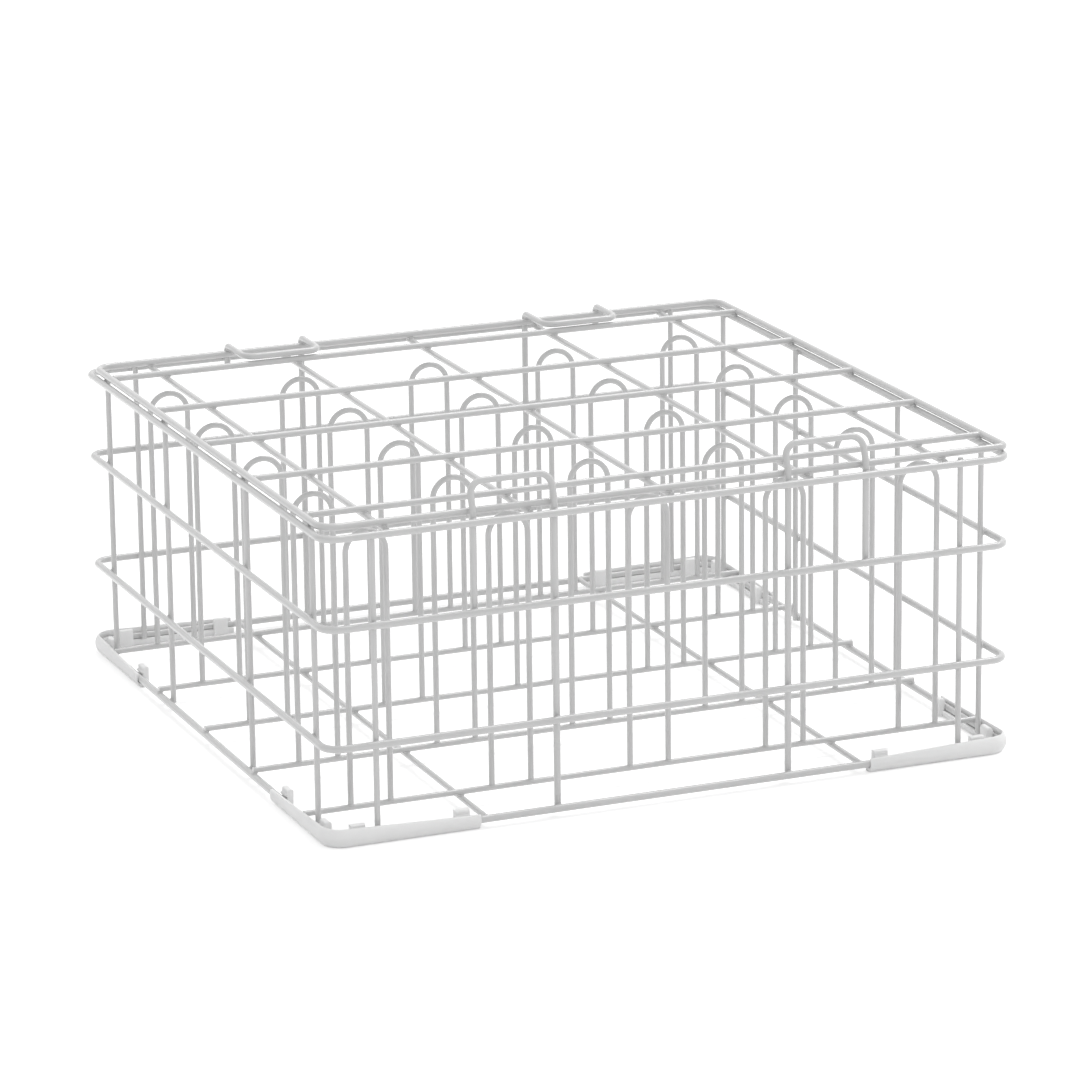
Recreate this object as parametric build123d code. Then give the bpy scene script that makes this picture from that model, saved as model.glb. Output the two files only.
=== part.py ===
from build123d import *
import math
import os

# Driving dimensions, in millimetres. X runs along the front, Y to the back, Z up from the ground.
# Footprint, over the outside of the feet, and the wires, over their coating
footprint_width = 500.0
footprint_depth = 500.0
frame_wire = 5.0
grid_wire = 4.6
handle_wire = 4.6
thin_wire = 4.0
grid_cross_wire = 4.3
wire_sides = 8
bend_step = 20.0
weld_gap = 0.2

# Rings: heights of their centrelines above the rim's, and their bends
lower_ring_rise = 61.0
middle_ring_rise = 141.5
top_ring_rise = 202.0
ring_bend = 12.0

# Top frame, over the top ring's sides and inside the handle legs. It sits a little to the right,
# and its front right corner, where the wire is joined, is bent tighter
top_frame_gap = 0.3
top_frame_side_inset = 0.75
top_frame_shift = 2.3
top_frame_joint_bend = 5.0
grid_stub = 1.5

# Pattern of hairpins, which the grid and the floor follow
row_count = 5
column_count = 5
pattern_margin = 50.0
hairpin_width = 28.0
hairpin_headroom = 6.8

# Uprights, set out from the pattern's lines
outer_upright_offset = 12.0
inner_upright_offset = 16.0
end_upright_offset = 10.8
upright_above_ring = 2.6
upright_below_rim = 1.0
floor_wire_overhang = 1.0

# Handles
handle_offset = 16.3
handle_width = 57.0
handle_bend = 9.0
handle_rise = 19.5
handle_lean = 6.0
handle_kink_rise = 2.0
handle_kink_bend = 10.0
handle_tail = 4.0
back_bend_ease = 0.5
back_right_shift = 9.0

# Corner feet: L-shaped channels that cradle the rim
foot_arm = 108.5
foot_fit = 0.25
foot_floor = 3.0
foot_wall = 1.4
foot_bulge_height = 6.6
foot_lip_height = 12.6
foot_lip_end_height = 10.0
foot_lip_inset = 2.2
foot_lip_thickness = 1.0
foot_sole_edge = 0.8
foot_sole_chamfer = 0.6
foot_inner_wall = 2.0
foot_inner_drop = 1.5
foot_flat = 55.0
foot_end_rise = 1.2
foot_neck = 8.0
foot_neck_step = 0.9
floor_cross_clear = 5.5

# Snap tabs on the inside of the feet
tab_length = 10.0
tab_thickness = 4.5
tab_height = 13.0
tab_crown = 1.4
tab_hook = 1.2
tab_hook_depth = 1.4
tab_rim_gap = 0.3
near_tab_place = 25.0
far_tab_from_end = 10.5

# Worked out from the sizes above
foot_outset = frame_wire / 2 + foot_fit + foot_wall
ring_half_x = footprint_width / 2 - foot_outset
ring_half_y = footprint_depth / 2 - foot_outset
rim_z = foot_floor + foot_fit + frame_wire / 2
lower_ring_z = rim_z + lower_ring_rise
middle_ring_z = rim_z + middle_ring_rise
top_ring_z = rim_z + top_ring_rise
top_frame_z = top_ring_z + frame_wire + top_frame_gap

ring_face = frame_wire / 2 + weld_gap
upright_inset = ring_face + thin_wire / 2
handle_inset = ring_face + handle_wire / 2
top_frame_half_x = ring_half_x - top_frame_side_inset
top_frame_half_y = ring_half_y - handle_inset - handle_wire / 2 - ring_face

grid_cross_z = top_frame_z - ring_face - grid_cross_wire / 2
grid_long_z = grid_cross_z + grid_cross_wire / 2 + weld_gap + grid_wire / 2
floor_long_z = rim_z + ring_face + thin_wire / 2
floor_cross_z = floor_long_z - thin_wire - weld_gap
floor_cross_x = footprint_width / 2 - foot_arm - floor_cross_clear
hairpin_top_z = top_frame_z - ring_face - thin_wire - hairpin_headroom - thin_wire / 2
upright_bottom_z = rim_z - upright_below_rim
upright_top_z = top_ring_z + upright_above_ring


def pattern_lines(count, span):
    """Places of the pattern's lines, evenly about the middle, with a margin at both ends of the span."""
    pitch = (span - 2 * pattern_margin) / (count - 1)
    return [(i - (count - 1) / 2) * pitch for i in range(count)]


columns = pattern_lines(column_count, footprint_width)
rows = pattern_lines(row_count, footprint_depth)
outer_upright_y = rows[-1] + outer_upright_offset
inner_upright_y = rows[-2] - inner_upright_offset
end_upright_x = columns[-1] + end_upright_offset
handle_x = columns[-2] - handle_offset


def wire_section(diameter):
    """An eight-sided section with flats up, down and to the sides, so that crossed wires meet flat."""
    return RegularPolygon(diameter / 2, wire_sides, major_radius=False, rotation=180 / wire_sides)


def bend_points(path):
    """Corners of a path whose arcs are cut into short straights that touch them."""
    points = []
    for edge in path.order_edges():
        if edge.geom_type == GeomType.LINE:
            continue
        turn = edge.length / edge.radius
        count = math.ceil(math.degrees(turn) / bend_step - 0.001)
        reach = edge.radius * math.tan(turn / count / 2)
        points += [edge @ (i / count) + (edge % (i / count)) * reach for i in range(count)]
    return points


def bent_wire(path, diameter, across):
    """A coated wire along a path of lines and arcs. One flat of its section faces across."""
    points = bend_points(path)
    if path.is_closed:
        middle = (points[-1] + points[0]) / 2
        points = [middle, *points, middle]
    else:
        points = [path @ 0, *points, path @ 1]
    route = Polyline(*points)
    start = Plane(origin=points[0], x_dir=across, z_dir=route % 0)
    return sweep(start * wire_section(diameter), path=route, transition=Transition.RIGHT)


def straight_wire(start, end, diameter, across=(0, 0, 1)):
    run = Vector(end) - Vector(start)
    return extrude(Plane(origin=start, x_dir=across, z_dir=run) * wire_section(diameter), run.length)


def ring(half_x, half_y, z, x=0, joint_bend=ring_bend):
    """A wire bent to a rectangle with round corners and welded shut, joined at the front right."""
    to_joint = Axis((0, 0, 0), (1, -1, 0))
    outline = Rectangle(2 * half_x, 2 * half_y)
    outline = fillet(outline.vertices().sort_by(to_joint)[:-1], ring_bend)
    outline = fillet(outline.vertices().sort_by(to_joint)[-1:], joint_bend)
    return bent_wire(Pos(x, 0, z) * outline.wire(), frame_wire, (0, 0, 1))


def hairpin():
    """An upside-down U that stands on its floor wire."""
    leg = hairpin_width / 2
    bottom_z = floor_long_z + thin_wire / 2 + weld_gap
    bend_z = hairpin_top_z - leg
    path = Wire([
        Line((-leg, 0, bottom_z), (-leg, 0, bend_z)).edge(),
        ThreePointArc((-leg, 0, bend_z), (0, 0, hairpin_top_z), (leg, 0, bend_z)).edge(),
        Line((leg, 0, bend_z), (leg, 0, bottom_z)).edge(),
    ])
    return bent_wire(path, thin_wire, (0, 1, 0))


def front_handle(side):
    """A standing loop that leans inward above the top frame, with one leg down to the rim."""
    y = -(ring_half_y - handle_inset)
    long_x = side * handle_x
    short_x = long_x + side * handle_width
    grip_y = y + handle_lean
    grip_z = top_frame_z + handle_rise
    kink_z = top_frame_z + handle_kink_rise
    path = FilletPolyline(
        (long_x, y, upright_bottom_z),
        (long_x, y, kink_z),
        (long_x, grip_y, grip_z),
        (short_x, grip_y, grip_z),
        (short_x, y, kink_z),
        (short_x, y, middle_ring_z - handle_tail),
        radius=[handle_kink_bend, handle_bend, handle_bend, handle_kink_bend],
    )
    return bent_wire(path, handle_wire, (0, 1, 0))


def back_handle(side, shift):
    """A loop that rises past the top frame and lies inward, over the rearmost grid wire."""
    y = ring_half_y - handle_inset
    long_x = side * handle_x + shift
    short_x = long_x + side * handle_width
    arm_z = top_frame_z + ring_face + handle_wire / 2
    grip_y = rows[-1]
    leg_bend = handle_inset - back_bend_ease
    path = FilletPolyline(
        (long_x, y, upright_bottom_z),
        (long_x, y, arm_z),
        (long_x, grip_y, arm_z),
        (short_x, grip_y, arm_z),
        (short_x, y, arm_z),
        (short_x, y, top_ring_z - handle_tail),
        radius=[leg_bend, handle_bend, handle_bend, leg_bend],
    )
    return bent_wire(path, handle_wire, (0, 1, 0))


def foot_section():
    """The channel across an arm: local X points outward from the rim's centreline, local Y up."""
    cradle = frame_wire / 2 + foot_fit
    flat = cradle * math.tan(math.pi / wire_sides)
    inner_top = rim_z - foot_inner_drop
    cradle_end = cradle + flat - foot_inner_drop
    inner_face = cradle + foot_inner_wall
    lip_outer = (foot_outset - foot_lip_inset, foot_lip_height)
    lip_inner = (foot_outset - foot_lip_inset - foot_lip_thickness, foot_lip_height)
    sole = Line((foot_sole_chamfer - inner_face, 0), (foot_sole_edge, 0))
    bulge = TangentArc((foot_outset, foot_bulge_height), (foot_sole_edge, 0), tangent=(0, -1))
    cheek = TangentArc((foot_outset, foot_bulge_height), lip_outer, tangent=(0, 1))
    inside = Polyline(
        lip_outer,
        lip_inner,
        (cradle, rim_z + flat),
        (cradle, rim_z - flat),
        (flat, rim_z - cradle),
        (-flat, rim_z - cradle),
        (-cradle_end, inner_top),
        (-inner_face, inner_top),
        (-inner_face, foot_sole_chamfer),
        (foot_sole_chamfer - inner_face, 0),
    )
    return make_face([*sole.edges(), *bulge.edges(), *cheek.edges(), *inside.edges()])


def snap_tab(place):
    """A springy tab on the inside of the front arm, with a hook over the rim."""
    face = -(frame_wire / 2 + tab_rim_gap)
    back = face - tab_thickness
    hook_z = rim_z + frame_wire / 2 + tab_rim_gap
    profile = Polygon(
        (back, foot_sole_chamfer),
        (face, foot_sole_chamfer),
        (face, hook_z),
        (face + tab_hook, hook_z),
        (face + tab_hook, hook_z + tab_hook_depth / 2),
        (face, hook_z + tab_hook_depth),
        (face, tab_height),
        (back, tab_height),
        align=None,
    )
    crown = profile.vertices().sort_by(Axis.Y)[-2:]
    profile = fillet(crown, tab_crown)
    start = Plane(
        origin=(place + tab_length / 2, -ring_half_y, 0), x_dir=(0, -1, 0), z_dir=(-1, 0, 0)
    )
    return extrude(start * profile, tab_length)


def arm_cuts():
    """What tapers the front arm: its lip and its sole, and the neck at its end."""
    corner = -footprint_width / 2
    end = corner + foot_arm
    bend_end = corner + foot_outset + ring_bend
    outer_y = -footprint_depth / 2
    width = foot_outset + frame_wire + tab_thickness
    above = Polygon(
        (bend_end, foot_lip_height),
        (end, foot_lip_end_height),
        (end, 2 * foot_lip_height),
        (bend_end, 2 * foot_lip_height),
        align=None,
    )
    below = Polygon(
        (corner + foot_flat, 0),
        (end, foot_end_rise),
        (end, -foot_floor),
        (corner + foot_flat, -foot_floor),
        align=None,
    )
    neck_top = foot_end_rise + foot_neck_step
    neck = Polygon(
        (end - foot_neck - foot_neck_step, foot_sole_chamfer),
        (end - foot_neck, neck_top),
        (end, neck_top),
        (end, -foot_floor),
        (end - foot_neck - foot_neck_step, -foot_floor),
        align=None,
    )
    side_view = Plane(origin=(0, outer_y, 0), x_dir=(1, 0, 0), z_dir=(0, -1, 0))
    lip_cut = extrude(side_view * above, -foot_outset)
    sole_cut = extrude(side_view * below, -width)
    neck_cut = extrude(side_view * neck, -width)
    return [lip_cut, sole_cut, neck_cut]


def corner_foot():
    """The front left foot. Its second arm is its first, mirrored over the corner's diagonal."""
    corner_x = -footprint_width / 2
    corner_y = -footprint_depth / 2
    bend_x = -ring_half_x + ring_bend
    bend_y = -ring_half_y + ring_bend
    start = Plane(origin=(bend_x, -ring_half_y, 0), x_dir=(0, -1, 0), z_dir=(-1, 0, 0))
    section = start * foot_section()
    arm = extrude(section, amount=corner_x + foot_arm - bend_x, dir=(1, 0, 0))
    for place in (corner_x + near_tab_place, corner_x + foot_arm - far_tab_from_end):
        arm += snap_tab(place)
    arm -= arm_cuts()
    corner = revolve(section, Axis((bend_x, bend_y, 0), (0, 0, -1)), 90)
    diagonal = Plane(origin=(corner_x, corner_y, 0), x_dir=(0, 0, 1), z_dir=(1, -1, 0))
    return corner + [arm, mirror(arm, diagonal)]


def export_node(name, *solids):
    shape = solids[0] if len(solids) == 1 else Compound(children=list(solids))
    export_step(shape, f"parts/{name}.step")


def export_frame():
    export_node("rim", ring(ring_half_x, ring_half_y, rim_z))
    export_node("lower_ring", ring(ring_half_x, ring_half_y, lower_ring_z))
    export_node("middle_ring", ring(ring_half_x, ring_half_y, middle_ring_z))
    export_node("top_ring", ring(ring_half_x, ring_half_y, top_ring_z))
    frame = ring(top_frame_half_x, top_frame_half_y, top_frame_z, top_frame_shift, top_frame_joint_bend)
    export_node("top_frame", frame)


def export_floor():
    end_x = ring_half_x + floor_wire_overhang
    end_y = ring_half_y - ring_face
    for number, y in enumerate(rows, 1):
        wire = straight_wire((-end_x, y, floor_long_z), (end_x, y, floor_long_z), thin_wire)
        export_node(f"floor_wire_{number}", wire)
    for name, x in (("left", -floor_cross_x), ("right", floor_cross_x)):
        wire = straight_wire((x, -end_y, floor_cross_z), (x, end_y, floor_cross_z), thin_wire)
        export_node(f"floor_cross_wire_{name}", wire)


def export_grid():
    reach = top_frame_half_x - ring_face
    left_x, right_x = top_frame_shift - reach, top_frame_shift + reach
    end_y = top_frame_half_y + frame_wire / 2 + grid_stub
    for number, y in enumerate(rows, 1):
        wire = straight_wire((left_x, y, grid_long_z), (right_x, y, grid_long_z), grid_wire)
        export_node(f"grid_wire_{number}", wire)
    for number, x in enumerate(columns, 1):
        wire = straight_wire((x, -end_y, grid_cross_z), (x, end_y, grid_cross_z), grid_cross_wire)
        export_node(f"grid_cross_wire_{number}", wire)


def export_hairpins():
    pin = hairpin()
    for number, y in enumerate(rows, 1):
        export_node(f"hairpin_row_{number}", *[Pos(x, y, 0) * pin for x in columns])


def upright(x, y):
    return straight_wire((x, y, upright_bottom_z), (x, y, upright_top_z), thin_wire, (1, 0, 0))


def export_uprights():
    side_x = ring_half_x - upright_inset
    side_places = [-outer_upright_y, -inner_upright_y, inner_upright_y, outer_upright_y]
    for number, y in enumerate(side_places, 1):
        export_node(f"left_upright_{number}", upright(-side_x, y))
        export_node(f"right_upright_{number}", upright(side_x, y))
    end_y = ring_half_y - upright_inset
    for name, x in (("left", -end_upright_x), ("right", end_upright_x)):
        export_node(f"front_upright_{name}", upright(x, -end_y))
        export_node(f"back_upright_{name}", upright(x, end_y))


def export_handles():
    export_node("front_handle_left", front_handle(-1))
    export_node("front_handle_right", front_handle(1))
    export_node("back_handle_left", back_handle(-1, 0))
    export_node("back_handle_right", back_handle(1, back_right_shift))


def export_feet():
    foot = corner_foot()
    across = mirror(foot, Plane.YZ)
    export_node("foot_front_left", foot)
    export_node("foot_front_right", across)
    export_node("foot_back_left", mirror(foot, Plane.XZ))
    export_node("foot_back_right", mirror(across, Plane.XZ))


os.makedirs("parts", exist_ok=True)
export_frame()
export_floor()
export_grid()
export_hairpins()
export_uprights()
export_handles()
export_feet()
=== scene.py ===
import math

import bpy
from mathutils import Matrix, Vector


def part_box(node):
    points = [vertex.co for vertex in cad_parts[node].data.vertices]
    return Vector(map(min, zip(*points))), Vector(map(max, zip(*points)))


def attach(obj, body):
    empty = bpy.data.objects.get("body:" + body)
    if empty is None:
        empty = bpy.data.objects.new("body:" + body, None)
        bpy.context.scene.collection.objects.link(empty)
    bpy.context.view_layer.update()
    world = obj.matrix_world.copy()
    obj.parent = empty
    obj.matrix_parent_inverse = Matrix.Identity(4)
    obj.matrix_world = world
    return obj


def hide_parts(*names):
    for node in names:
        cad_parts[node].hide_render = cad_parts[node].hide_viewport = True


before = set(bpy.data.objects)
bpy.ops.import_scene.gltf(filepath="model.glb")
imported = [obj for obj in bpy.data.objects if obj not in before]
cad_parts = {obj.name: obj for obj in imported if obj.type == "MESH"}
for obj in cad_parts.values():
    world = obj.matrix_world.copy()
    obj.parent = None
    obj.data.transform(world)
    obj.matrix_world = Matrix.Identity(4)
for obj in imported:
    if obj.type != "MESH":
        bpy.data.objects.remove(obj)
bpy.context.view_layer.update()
print("frame loaded:", len(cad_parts), "nodes")

runs = []  # every straight length of wire: start, end, radius. The weld beads are found from it


# Finishes: white coating on the wires, white plastic for the feet

cloudMarks = {"detail": 4.0, "roughness": 0.6, "from": 0.42, "to": 0.72}
speckMarks = {"detail": 2.0, "roughness": 0.5, "from": 0.60, "to": 0.78}


def addMarkLayer(group, place, inlet, word, layer):
    nodes, links = group.nodes, group.links
    noise = nodes.new("ShaderNodeTexNoise")
    noise.inputs["Detail"].default_value = layer["detail"]
    noise.inputs["Roughness"].default_value = layer["roughness"]
    edge = nodes.new("ShaderNodeMapRange")
    edge.inputs["From Min"].default_value = layer["from"]
    edge.inputs["From Max"].default_value = layer["to"]
    amount = nodes.new("ShaderNodeMath")
    amount.operation = "MULTIPLY"
    links.new(place.outputs["Object"], noise.inputs["Vector"])
    links.new(inlet.outputs[word + " Scale"], noise.inputs["Scale"])
    links.new(noise.outputs["Fac"], edge.inputs["Value"])
    links.new(edge.outputs["Result"], amount.inputs[0])
    links.new(inlet.outputs[word + " Amount"], amount.inputs[1])
    return noise.outputs["Fac"], amount.outputs[0]


def makeHandlingMarks():
    # soft grey clouds and fine specks that any much-washed white surface has
    group = bpy.data.node_groups.new("handlingMarks", "ShaderNodeTree")
    for label in ("Cloud Scale", "Speck Scale", "Cloud Amount", "Speck Amount"):
        group.interface.new_socket(label, in_out="INPUT", socket_type="NodeSocketFloat")
    for label in ("Marks", "Grain"):
        group.interface.new_socket(label, in_out="OUTPUT", socket_type="NodeSocketFloat")
    nodes, links = group.nodes, group.links
    inlet = nodes.new("NodeGroupInput")
    outlet = nodes.new("NodeGroupOutput")
    place = nodes.new("ShaderNodeTexCoord")
    clouds = addMarkLayer(group, place, inlet, "Cloud", cloudMarks)[1]
    grain, specks = addMarkLayer(group, place, inlet, "Speck", speckMarks)
    both = nodes.new("ShaderNodeMath")
    both.operation = "ADD"
    both.use_clamp = True
    links.new(clouds, both.inputs[0])
    links.new(specks, both.inputs[1])
    links.new(both.outputs[0], outlet.inputs["Marks"])
    links.new(grain, outlet.inputs["Grain"])
    return group


handlingMarks = makeHandlingMarks()

coatLook = {
    "clean": (0.64, 0.64, 0.64, 1.0), "marked": (0.575, 0.575, 0.572, 1.0),
    "cloudScale": 26.0, "speckScale": 700.0, "cloudAmount": 0.5, "speckAmount": 0.25,
    "glossy": 0.30, "dull": 0.42, "peelScale": 420.0, "peelDetail": 3.0, "peelHeight": 0.00006,
    "coat": 1.0, "coatRoughness": 0.12, "milky": 0.0, "milkDepth": 0.003,
}
footLook = {
    "clean": (0.94, 0.94, 0.94, 1.0), "marked": (0.87, 0.87, 0.865, 1.0),
    "cloudScale": 40.0, "speckScale": 1100.0, "cloudAmount": 0.35, "speckAmount": 0.2,
    "glossy": 0.36, "dull": 0.52, "peelScale": 1500.0, "peelDetail": 3.0, "peelHeight": 0.00003,
    "coat": 0.0, "coatRoughness": 0.12, "milky": 0.4, "milkDepth": 0.003,
}


def makeWhite(name, look):
    material = bpy.data.materials.new(name)
    material.use_nodes = True
    nodes, links = material.node_tree.nodes, material.node_tree.links
    surface = nodes["Principled BSDF"]
    marks = nodes.new("ShaderNodeGroup")
    marks.node_tree = handlingMarks
    marks.inputs["Cloud Scale"].default_value = look["cloudScale"]
    marks.inputs["Speck Scale"].default_value = look["speckScale"]
    marks.inputs["Cloud Amount"].default_value = look["cloudAmount"]
    marks.inputs["Speck Amount"].default_value = look["speckAmount"]
    tone = nodes.new("ShaderNodeMix")
    tone.data_type = "RGBA"
    tone.inputs["A"].default_value = look["clean"]
    tone.inputs["B"].default_value = look["marked"]
    polish = nodes.new("ShaderNodeMapRange")
    polish.inputs["To Min"].default_value = look["glossy"]
    polish.inputs["To Max"].default_value = look["dull"]
    place = nodes.new("ShaderNodeTexCoord")
    peel = nodes.new("ShaderNodeTexNoise")
    peel.inputs["Scale"].default_value = look["peelScale"]
    peel.inputs["Detail"].default_value = look["peelDetail"]
    bump = nodes.new("ShaderNodeBump")
    bump.inputs["Distance"].default_value = look["peelHeight"]
    bump.inputs["Strength"].default_value = 1.0
    links.new(marks.outputs["Marks"], tone.inputs["Factor"])
    links.new(tone.outputs["Result"], surface.inputs["Base Color"])
    links.new(marks.outputs["Grain"], polish.inputs["Value"])
    links.new(polish.outputs["Result"], surface.inputs["Roughness"])
    links.new(place.outputs["Object"], peel.inputs["Vector"])
    links.new(peel.outputs["Fac"], bump.inputs["Height"])
    links.new(bump.outputs["Normal"], surface.inputs["Normal"])
    surface.inputs["Coat Weight"].default_value = look["coat"]
    surface.inputs["Coat Roughness"].default_value = look["coatRoughness"]
    surface.inputs["Subsurface Weight"].default_value = look["milky"]
    surface.inputs["Subsurface Radius"].default_value = (1.0, 1.0, 1.0)
    surface.inputs["Subsurface Scale"].default_value = look["milkDepth"]
    return material


coatedWire = makeWhite("coatedWire", coatLook)
footPlastic = makeWhite("footPlastic", footLook)
print("finishes made")


# Handling of pieces

def pickOnly(pieces):
    bpy.ops.object.select_all(action="DESELECT")
    for piece in pieces:
        piece.select_set(True)
    bpy.context.view_layer.objects.active = pieces[0]


def copyPiece(piece, change=Matrix()):
    copy = piece.copy()
    copy.data = piece.data.copy()
    copy.data.transform(change)
    bpy.context.collection.objects.link(copy)
    return copy


def joinPieces(pieces, name):
    pickOnly(pieces)
    bpy.ops.object.join()
    joined = bpy.context.active_object
    joined.name = name
    return joined


def finishPiece(piece, material, nodes):
    piece.data.materials.clear()
    piece.data.materials.append(material)
    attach(piece, "root")
    if nodes:
        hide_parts(*nodes)


# Wire bending

wireCoat = {
    "sides": 20, "stepDegrees": 7.5, "endRound": 0.0008, "endSteps": 3,
    "smoothDegrees": 35, "mergeWithin": 0.00001,
}


def startWire(name, width, place, heading):
    bpy.ops.object.select_all(action="DESELECT")
    bpy.ops.mesh.primitive_circle_add(
        vertices=wireCoat["sides"], radius=width / 2, fill_type="NGON",
        location=place, rotation=heading.to_track_quat("Z", "Y").to_euler(),
    )
    wire = bpy.context.active_object
    wire.name = name
    wire.data.name = name
    bpy.ops.object.transform_apply(location=True, rotation=True, scale=True)
    bpy.ops.object.mode_set(mode="EDIT")
    bpy.ops.mesh.select_all(action="SELECT")
    return wire


def pushRun(place, heading, length, width):
    step = heading * length
    bpy.ops.mesh.extrude_region_move(TRANSFORM_OT_translate={"value": step})
    runs.append((place.copy(), place + step, width / 2))
    return place + step


def turnBend(place, heading, radius, towards, degrees):
    towards = Vector(towards).normalized()
    centre = place + towards * radius
    axis = heading.cross(towards).normalized()
    steps = math.ceil(degrees / wireCoat["stepDegrees"])
    turn = math.radians(degrees)
    bpy.ops.mesh.spin(steps=steps, angle=-turn, center=centre, axis=axis, dupli=False)
    turned = Matrix.Rotation(turn, 3, axis)
    return centre + turned @ (place - centre), turned @ heading


def endWire(closed):
    # the end faces are the only ones with many sides: a ring loses them, a cut end is rounded
    bpy.ops.mesh.select_all(action="SELECT")
    bpy.ops.mesh.remove_doubles(threshold=wireCoat["mergeWithin"])
    bpy.ops.mesh.select_all(action="DESELECT")
    bpy.ops.mesh.select_face_by_sides(number=4, type="GREATER")
    if closed:
        bpy.ops.mesh.delete(type="ONLY_FACE")
    else:
        bpy.ops.mesh.region_to_loop()
        bpy.ops.mesh.bevel(
            offset=wireCoat["endRound"], segments=wireCoat["endSteps"], affect="EDGES"
        )
    bpy.ops.mesh.select_all(action="SELECT")
    bpy.ops.mesh.normals_make_consistent(inside=False)
    bpy.ops.object.mode_set(mode="OBJECT")
    bpy.ops.object.shade_smooth_by_angle(angle=math.radians(wireCoat["smoothDegrees"]))


def bendWire(name, width, place, heading, moves, closed=False):
    # moves are ("run", length) or ("bend", radius, towards, degrees), one after the other
    place, heading = Vector(place), Vector(heading).normalized()
    wire = startWire(name, width, place, heading)
    for kind, *sizes in moves:
        if kind == "run":
            place = pushRun(place, heading, sizes[0], width)
        else:
            place, heading = turnBend(place, heading, *sizes)
    endWire(closed)
    return wire


def straightWire(node):
    low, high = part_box(node)
    size = high - low
    along = max(range(3), key=lambda i: size[i])
    start = (low + high) / 2
    start[along] = low[along]
    heading = Vector((0, 0, 0))
    heading[along] = 1
    wire = bendWire(node + "_round", min(size), start, heading, [("run", size[along])])
    finishPiece(wire, coatedWire, [node])


ringShape = {"bend": 0.012, "frameJointBend": 0.005}


def ringWire(node):
    low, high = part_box(node)
    width = high.z - low.z
    halfX = (high.x - low.x - width) / 2
    halfY = (high.y - low.y - width) / 2
    bend = ringShape["bend"]
    joint = ringShape["frameJointBend"] if node == "top_frame" else bend
    moves = [
        ("run", halfX - joint), ("bend", joint, (0, 1, 0), 90),
        ("run", 2 * halfY - bend - joint), ("bend", bend, (-1, 0, 0), 90),
        ("run", 2 * (halfX - bend)), ("bend", bend, (0, -1, 0), 90),
        ("run", 2 * (halfY - bend)), ("bend", bend, (1, 0, 0), 90),
        ("run", halfX - bend),
    ]
    start = ((low.x + high.x) / 2, low.y + width / 2, (low.z + high.z) / 2)
    wire = bendWire(node + "_round", width, start, (1, 0, 0), moves, closed=True)
    finishPiece(wire, coatedWire, [node])


straightNodes = [name for name in sorted(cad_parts) if "_wire_" in name or "upright" in name]
ringNodes = ["rim", "lower_ring", "middle_ring", "top_ring", "top_frame"]
for node in ringNodes:
    ringWire(node)
for node in straightNodes:
    straightWire(node)
print("rings and straight wires:", len(ringNodes), len(straightNodes))


# Hairpin dividers: one is bent, the others are copies of it

hairpinShape = {"width": 0.028, "perRow": 5}


def hairpinRows():
    rowNodes = sorted(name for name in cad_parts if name.startswith("hairpin_row"))
    half = hairpinShape["width"] / 2
    low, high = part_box(rowNodes[0])
    thick = high.y - low.y
    first = low.x + thick / 2 + half
    pitch = (high.x - low.x - thick - 2 * half) / (hairpinShape["perRow"] - 1)
    leg = high.z - thick / 2 - half - low.z
    moves = [("run", leg), ("bend", half, (1, 0, 0), 180), ("run", leg)]
    markFrom = len(runs)
    pin = bendWire("hairpin", thick, (-half, 0, low.z), (0, 0, 1), moves)
    legs = runs[markFrom:]
    del runs[markFrom:]
    for node in rowNodes:
        low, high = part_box(node)
        copies = []
        for i in range(hairpinShape["perRow"]):
            offset = Vector((first + i * pitch, (low.y + high.y) / 2, 0))
            copies.append(copyPiece(pin, Matrix.Translation(offset)))
            runs.extend((a + offset, b + offset, r) for a, b, r in legs)
        row = joinPieces(copies, node + "_round")
        finishPiece(row, coatedWire, [node])
    bpy.data.objects.remove(pin)
    print("hairpin rows:", len(rowNodes))


hairpinRows()


# Lifting handles

handleShape = {
    "wire": 0.0046, "bend": 0.009, "rise": 0.0195, "lean": 0.006,
    "kinkRise": 0.002, "kinkBend": 0.010, "backLegBend": 0.0045,
}


def handleLegs(node, side):
    # the long leg stands nearer the middle; the short leg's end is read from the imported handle
    low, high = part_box(node)
    half = handleShape["wire"] / 2
    inner, outer = (low.x + half, high.x - half) if side > 0 else (high.x - half, low.x + half)
    middle = (inner + outer) / 2
    points = [v.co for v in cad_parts[node].data.vertices]
    shortEnd = min(p.z for p in points if (p.x - middle) * side > 0)
    return inner, abs(outer - inner), low.z, shortEnd


def frontHandle(node, side):
    longX, span, longEnd, shortEnd = handleLegs(node, side)
    frameLow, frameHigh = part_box("top_frame")
    frameZ = (frameLow.z + frameHigh.z) / 2
    bend, kinkBend = handleShape["bend"], handleShape["kinkBend"]
    kinkZ = frameZ + handleShape["kinkRise"]
    slope = Vector((0, handleShape["lean"], handleShape["rise"] - handleShape["kinkRise"]))
    angle = math.atan2(slope.y, slope.z)
    reach = kinkBend * math.tan(angle / 2)
    up, outward = slope.normalized(), Vector((side, 0, 0))
    lean, rise = math.degrees(angle), slope.length - reach - bend
    moves = [
        ("run", kinkZ - reach - longEnd), ("bend", kinkBend, (0, 1, 0), lean),
        ("run", rise), ("bend", bend, outward, 90),
        ("run", span - 2 * bend), ("bend", bend, -up, 90),
        ("run", rise), ("bend", kinkBend, up.cross(outward) * side, lean),
        ("run", kinkZ - reach - shortEnd),
    ]
    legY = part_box(node)[0].y + handleShape["wire"] / 2
    wire = bendWire(node + "_round", handleShape["wire"], (longX, legY, longEnd), (0, 0, 1), moves)
    finishPiece(wire, coatedWire, [node])


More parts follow.
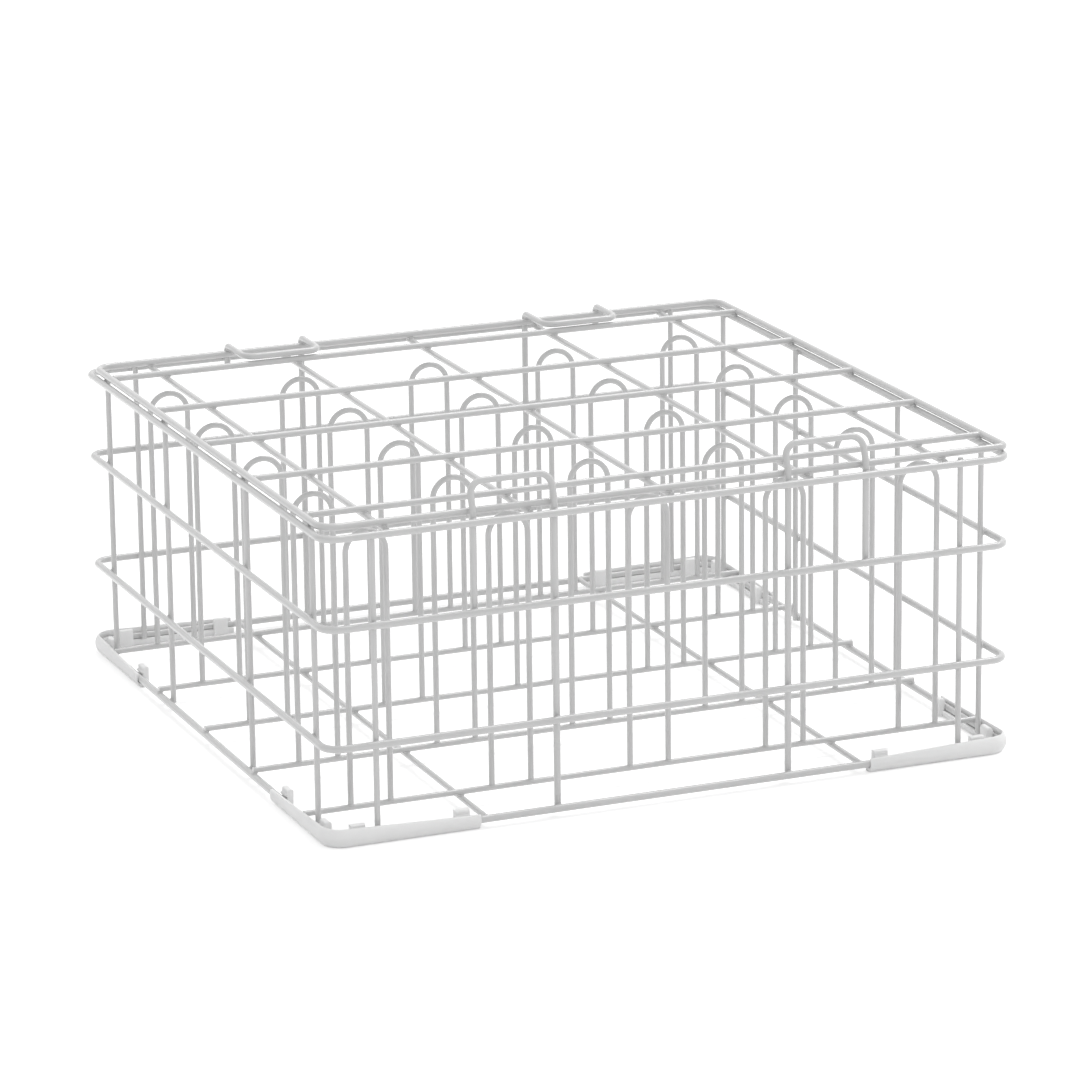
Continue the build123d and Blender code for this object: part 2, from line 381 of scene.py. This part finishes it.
def backHandle(node, side):
    longX, span, longEnd, shortEnd = handleLegs(node, side)
    low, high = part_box(node)
    half = handleShape["wire"] / 2
    bend, legBend = handleShape["bend"], handleShape["backLegBend"]
    legY, armZ = high.y - half, high.z - half
    arm = legY - (low.y + half) - legBend - bend
    moves = [
        ("run", armZ - legBend - longEnd), ("bend", legBend, (0, -1, 0), 90),
        ("run", arm), ("bend", bend, (side, 0, 0), 90),
        ("run", span - 2 * bend), ("bend", bend, (0, 1, 0), 90),
        ("run", arm), ("bend", legBend, (0, 0, -1), 90),
        ("run", armZ - legBend - shortEnd),
    ]
    wire = bendWire(node + "_round", handleShape["wire"], (longX, legY, longEnd), (0, 0, 1), moves)
    finishPiece(wire, coatedWire, [node])


for side, word in ((-1, "left"), (1, "right")):
    frontHandle("front_handle_" + word, side)
    backHandle("back_handle_" + word, side)
print("handles bent")


# Weld beads under the coating, where two wires meet at an angle

weldBead = {
    "reach": 0.0006, "slack": 0.0005, "sideBySide": 0.05, "thinEnd": 0.75, "thickEnd": 0.9,
    "across": 1.12, "depth": 0.62, "grain": 2, "floorTop": 0.03, "gridBottom": 0.2,
}


def nearestPoints(a, b, c, d):
    u, v, w = b - a, d - c, a - c
    uu, uv, vv, uw, vw = u.dot(u), u.dot(v), v.dot(v), u.dot(w), v.dot(w)
    spread = uu * vv - uv * uv
    if spread < weldBead["sideBySide"] * uu * vv:
        return None
    s = min(max((uv * vw - vv * uw) / spread, 0), 1)
    t = min(max((uv * s + vw) / vv, 0), 1)
    s = min(max((uv * t - uw) / uu, 0), 1)
    return a + u * s, c + v * t


def weldSpots():
    spots = []
    slack = weldBead["slack"]
    for i, (a, b, ra) in enumerate(runs):
        for c, d, rb in runs[i + 1:]:
            near = nearestPoints(a, b, c, d)
            if near is None:
                continue
            gap = near[1] - near[0]
            if gap.length < slack or gap.length > ra + rb + weldBead["reach"]:
                continue
            middle = near[0] + gap.normalized() * (ra + (gap.length - ra - rb) / 2)
            if gap.length < ra + rb - slack:  # an end that butts a wire
                middle = near[0] + gap * weldBead["thinEnd" if ra < rb else "thickEnd"]
            spots.append((middle, gap.normalized(), min(ra, rb)))
    return spots


def beadGroup(name, spots):
    bpy.ops.object.select_all(action="DESELECT")
    bpy.ops.mesh.primitive_ico_sphere_add(subdivisions=weldBead["grain"], radius=1.0, location=(0, 0, 0))
    bead = bpy.context.active_object
    bpy.ops.object.mode_set(mode="EDIT")
    bpy.ops.mesh.select_all(action="SELECT")
    bpy.ops.transform.resize(value=(weldBead["across"], weldBead["across"], weldBead["depth"]))
    bpy.ops.object.mode_set(mode="OBJECT")
    copies = []
    for middle, normal, radius in spots:
        turn = normal.to_track_quat("Z", "Y").to_matrix().to_4x4()
        copies.append(copyPiece(bead, Matrix.Translation(middle) @ turn @ Matrix.Scale(radius, 4)))
    group = joinPieces(copies, name)
    bpy.ops.object.shade_smooth()
    finishPiece(group, coatedWire, [])
    bpy.data.objects.remove(bead)


spots = weldSpots()
floorTop, gridBottom = weldBead["floorTop"], weldBead["gridBottom"]
beadGroup("floor_welds", [s for s in spots if s[0].z < floorTop])
beadGroup("side_welds", [s for s in spots if floorTop <= s[0].z < gridBottom])
beadGroup("grid_welds", [s for s in spots if s[0].z >= gridBottom])
print("weld beads:", len(spots))


# Moulded feet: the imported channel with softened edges

footFinish = {
    "edgeRound": 0.00035, "edgeSteps": 2, "edgeDegrees": 32,
    "smoothDegrees": 40, "mergeWithin": 0.000005,
}


def softFoot(node):
    foot = copyPiece(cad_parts[node])
    foot.name = node + "_moulded"
    pickOnly([foot])
    bpy.ops.object.mode_set(mode="EDIT")
    bpy.ops.mesh.select_all(action="SELECT")
    bpy.ops.mesh.remove_doubles(threshold=footFinish["mergeWithin"])
    bpy.ops.object.mode_set(mode="OBJECT")
    edge = foot.modifiers.new("softEdges", "BEVEL")
    edge.width = footFinish["edgeRound"]
    edge.segments = footFinish["edgeSteps"]
    edge.limit_method = "ANGLE"
    edge.angle_limit = math.radians(footFinish["edgeDegrees"])
    bpy.ops.object.modifier_apply(modifier="softEdges")
    bpy.ops.object.shade_smooth_by_angle(angle=math.radians(footFinish["smoothDegrees"]))
    finishPiece(foot, footPlastic, [node])


for node in sorted(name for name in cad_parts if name.startswith("foot_")):
    softFoot(node)
print("feet moulded")


# Floor, light and camera

studio = {
    "floorSize": 30.0, "floorDrop": 0.0004, "floorColor": (0.90, 0.90, 0.90, 1.0), "floorLift": 0.40,
    "brightSide": (0.95, 0.0, 0.30), "dimRoom": 0.64, "brightRoom": 0.80,
}


def seenDirectly(nodes, links):
    # 1 for what the camera sees, straight on or through a mirror or glass
    path = nodes.new("ShaderNodeLightPath")
    first = nodes.new("ShaderNodeMath")
    first.operation = "MAXIMUM"
    second = nodes.new("ShaderNodeMath")
    second.operation = "MAXIMUM"
    links.new(path.outputs["Is Camera Ray"], first.inputs[0])
    links.new(path.outputs["Is Glossy Ray"], first.inputs[1])
    links.new(first.outputs[0], second.inputs[0])
    links.new(path.outputs["Is Transmission Ray"], second.inputs[1])
    return second.outputs[0]


def layFloor():
    bpy.ops.object.select_all(action="DESELECT")
    bpy.ops.mesh.primitive_plane_add(size=studio["floorSize"], location=(0, 0, -studio["floorDrop"]))
    floor = bpy.context.active_object
    floor.name = "studioFloor"
    bpy.ops.object.transform_apply(location=True, rotation=True, scale=True)
    material = bpy.data.materials.new("studioFloor")
    material.use_nodes = True
    nodes, links = material.node_tree.nodes, material.node_tree.links
    nodes.clear()
    paper = nodes.new("ShaderNodeBsdfDiffuse")
    paper.inputs["Color"].default_value = studio["floorColor"]
    lift = nodes.new("ShaderNodeEmission")
    strength = nodes.new("ShaderNodeMath")
    strength.operation = "MULTIPLY"
    strength.inputs[1].default_value = studio["floorLift"]
    both = nodes.new("ShaderNodeAddShader")
    out = nodes.new("ShaderNodeOutputMaterial")
    links.new(seenDirectly(nodes, links), strength.inputs[0])
    links.new(strength.outputs[0], lift.inputs["Strength"])
    links.new(paper.outputs[0], both.inputs[0])
    links.new(lift.outputs[0], both.inputs[1])
    links.new(both.outputs[0], out.inputs["Surface"])
    floor.data.materials.append(material)


def lightRoom():
    # the room is a little brighter on the rack's right than on its left
    world = bpy.data.worlds.new("studioRoom")
    world.use_nodes = True
    nodes, links = world.node_tree.nodes, world.node_tree.links
    back = nodes["Background"]
    back.inputs["Color"].default_value = (1.0, 1.0, 1.0, 1.0)
    ray = nodes.new("ShaderNodeTexCoord")
    toSide = nodes.new("ShaderNodeVectorMath")
    toSide.operation = "DOT_PRODUCT"
    toSide.inputs[1].default_value = studio["brightSide"]
    room = nodes.new("ShaderNodeMapRange")
    room.inputs["From Min"].default_value = -1.0
    room.inputs["To Min"].default_value = studio["dimRoom"]
    room.inputs["To Max"].default_value = studio["brightRoom"]
    level = nodes.new("ShaderNodeMapRange")
    level.inputs["To Max"].default_value = 1.0
    links.new(ray.outputs["Generated"], toSide.inputs[0])
    links.new(toSide.outputs["Value"], room.inputs["Value"])
    links.new(room.outputs["Result"], level.inputs["To Min"])
    links.new(seenDirectly(nodes, links), level.inputs["Value"])
    links.new(level.outputs["Result"], back.inputs["Strength"])
    bpy.context.scene.world = world


keyLight = {"from": (0.50, 0.22, 0.94), "strength": 0.95, "spreadDegrees": 30}


def hangKeyLight():
    data = bpy.data.lights.new("keyLight", "SUN")
    data.energy = keyLight["strength"]
    data.angle = math.radians(keyLight["spreadDegrees"])
    holder = bpy.data.objects.new("keyLight", data)
    holder.location = Vector(keyLight["from"])
    holder.rotation_euler = holder.location.to_track_quat("Z", "Y").to_euler()
    bpy.context.collection.objects.link(holder)


shot = {
    "azimuth": -22.23, "elevation": 15.785, "roll": -0.708, "aim": (0.01530, 0.02661, 0.10762),
    "distance": 3.7612, "lens": 177.49, "sensor": 36.0, "farthest": 100.0,
}


def setCamera():
    a, e, r = (math.radians(shot[k]) for k in ("azimuth", "elevation", "roll"))
    back = Vector((math.sin(a) * math.cos(e), -math.cos(a) * math.cos(e), math.sin(e)))
    right = Vector((math.cos(a), math.sin(a), 0))
    up = back.cross(right)
    tiltRight = right * math.cos(r) + up * math.sin(r)
    tiltUp = up * math.cos(r) - right * math.sin(r)
    data = bpy.data.cameras.new("photoCamera")
    data.lens = shot["lens"]
    data.sensor_width = shot["sensor"]
    data.clip_end = shot["farthest"]
    camera = bpy.data.objects.new("photoCamera", data)
    bpy.context.collection.objects.link(camera)
    turn = Matrix((tiltRight, tiltUp, back)).transposed().to_4x4()
    camera.matrix_world = Matrix.Translation(Vector(shot["aim"]) + back * shot["distance"]) @ turn
    bpy.context.scene.camera = camera


layFloor()
lightRoom()
hangKeyLight()
setCamera()
bpy.context.scene.view_settings.view_transform = "Standard"
print("studio ready")
